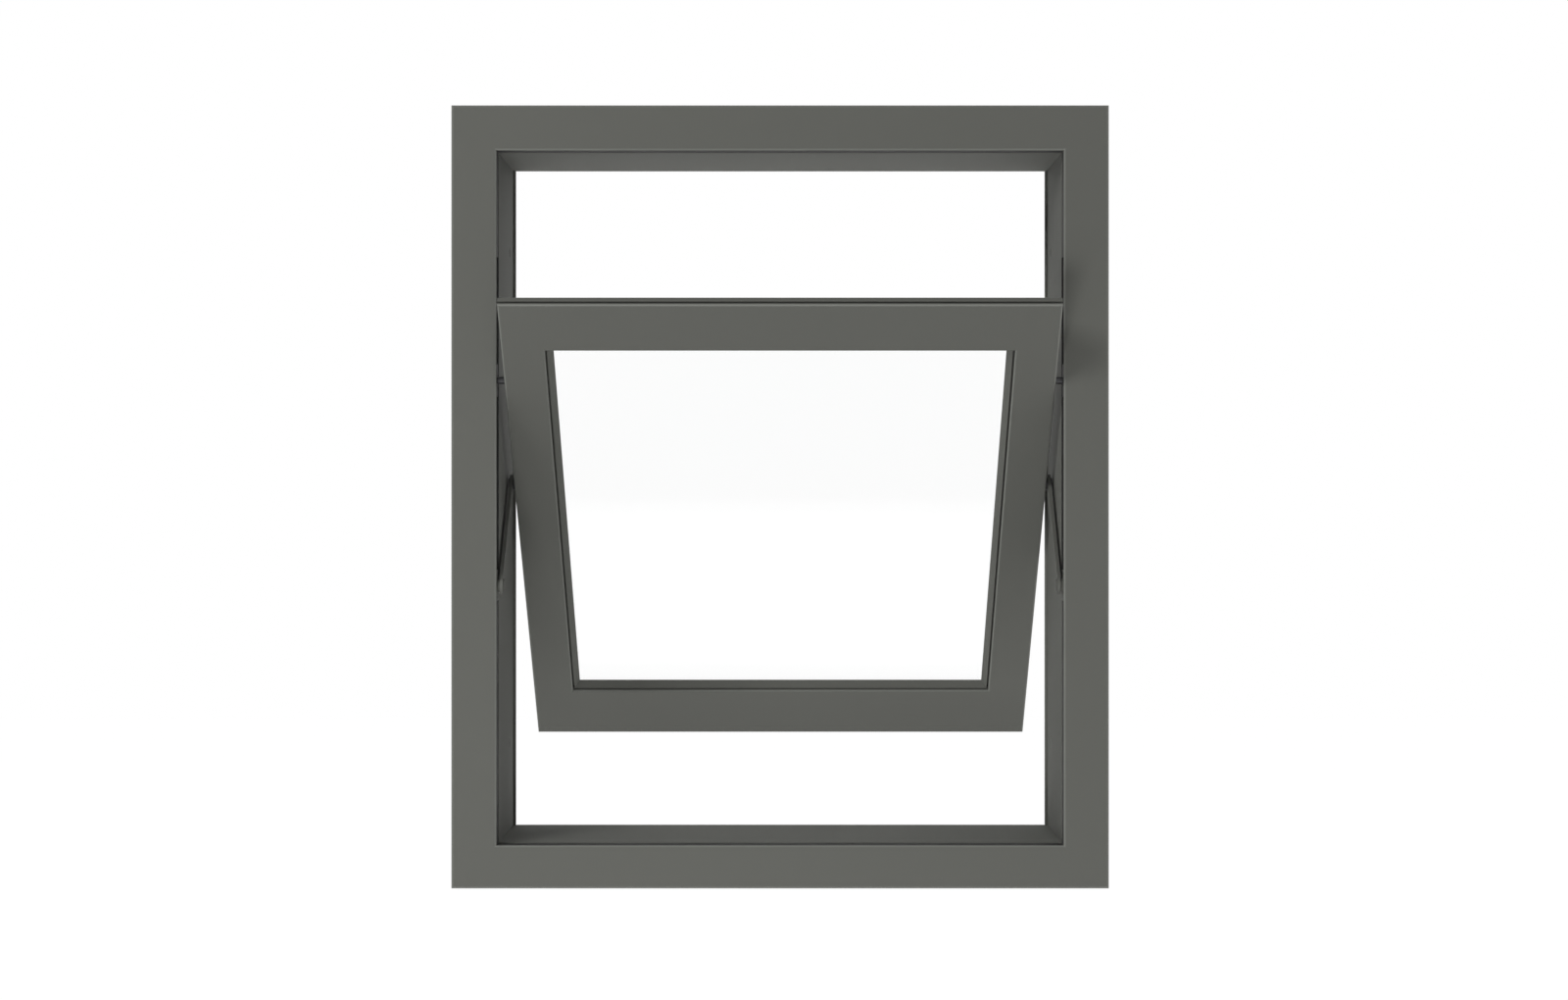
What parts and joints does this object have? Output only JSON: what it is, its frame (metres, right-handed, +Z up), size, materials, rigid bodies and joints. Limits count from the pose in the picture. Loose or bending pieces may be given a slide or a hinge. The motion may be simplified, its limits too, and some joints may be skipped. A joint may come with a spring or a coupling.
{
  "type": "pivot window",
  "caption": "Top-guided pivot window: a glazed sash swings out on side arms while its top slides down tracks in a deep, powder-coated box frame.",
  "frame": {"origin": "underside of the sill, midway along it and midway through the frame's depth", "axes": "+Z up, +X to the right seen from the room, +Y away from the room, the way the sash's foot swings"},
  "size_m": [0.64, 0.5021, 0.762],
  "materials": {
    "frame_coat": "matte grey-green powder coat",
    "sash_coat": "matte grey-green powder coat",
    "hardware_coat": "matte grey-green powder coat on steel",
    "track_coat": "matte black coat on a rolled steel channel",
    "steel": "dark satin steel",
    "nylon": "black moulded nylon",
    "glass": "clear float glass",
    "spacer_bar": "dark warm-edge spacer",
    "rubber": "black extruded rubber"
  },
  "bodies": {
    "frame": {"frame_head": "frame_coat", "frame_sill": "frame_coat", "frame_left_jamb": "frame_coat", "frame_right_jamb": "frame_coat", "head_seal": "rubber", "sill_seal": "rubber", "left_jamb_seal": "rubber", "right_jamb_seal": "rubber", "left_track": "track_coat", "right_track": "track_coat", "left_arm_bracket": "hardware_coat", "right_arm_bracket": "hardware_coat"},
    "arms": {"left_arm": "hardware_coat", "right_arm": "hardware_coat"},
    "sash": {"sash_top_rail": "sash_coat", "sash_bottom_rail": "sash_coat", "sash_left_stile": "sash_coat", "sash_right_stile": "sash_coat", "top_cover": "sash_coat", "bottom_cover": "sash_coat", "left_cover": "sash_coat", "right_cover": "sash_coat", "top_bead": "sash_coat", "bottom_bead": "sash_coat", "left_bead": "sash_coat", "right_bead": "sash_coat", "top_retainer": "sash_coat", "bottom_retainer": "sash_coat", "left_retainer": "sash_coat", "right_retainer": "sash_coat", "inner_pane": "glass", "outer_pane": "glass", "spacer": "spacer_bar", "front_glazing_seal": "rubber", "rear_glazing_seal": "rubber", "left_arm_pin": "steel", "right_arm_pin": "steel"},
    "shoes": {"left_shoe": "nylon", "right_shoe": "nylon", "left_shoe_pin": "steel", "right_shoe_pin": "steel"}
  },
  "joints": [
    {"name": "arm_swing", "type": "hinge", "parent": "frame", "child": "arms", "pos_m": [0, -0.081, 0.2948], "axis": [1, 0, 0], "range_deg": [-32, 48]},
    {"name": "sash_swing", "type": "hinge", "parent": "arms", "child": "sash", "pos_m": [0, 0.03003, 0.39477], "axis": [1, 0, 0], "range_deg": [-96, 64]},
    {"name": "shoe_turn", "type": "hinge", "parent": "sash", "child": "shoes", "pos_m": [0, -0.081, 0.49474], "axis": [1, 0, 0], "range_deg": [-32, 48]}
  ],
  "couplings": [
    {"joint": "arm_swing", "follows": "sash_swing", "ratio": -0.5},
    {"joint": "shoe_turn", "follows": "sash_swing", "ratio": -0.5}
  ]
}
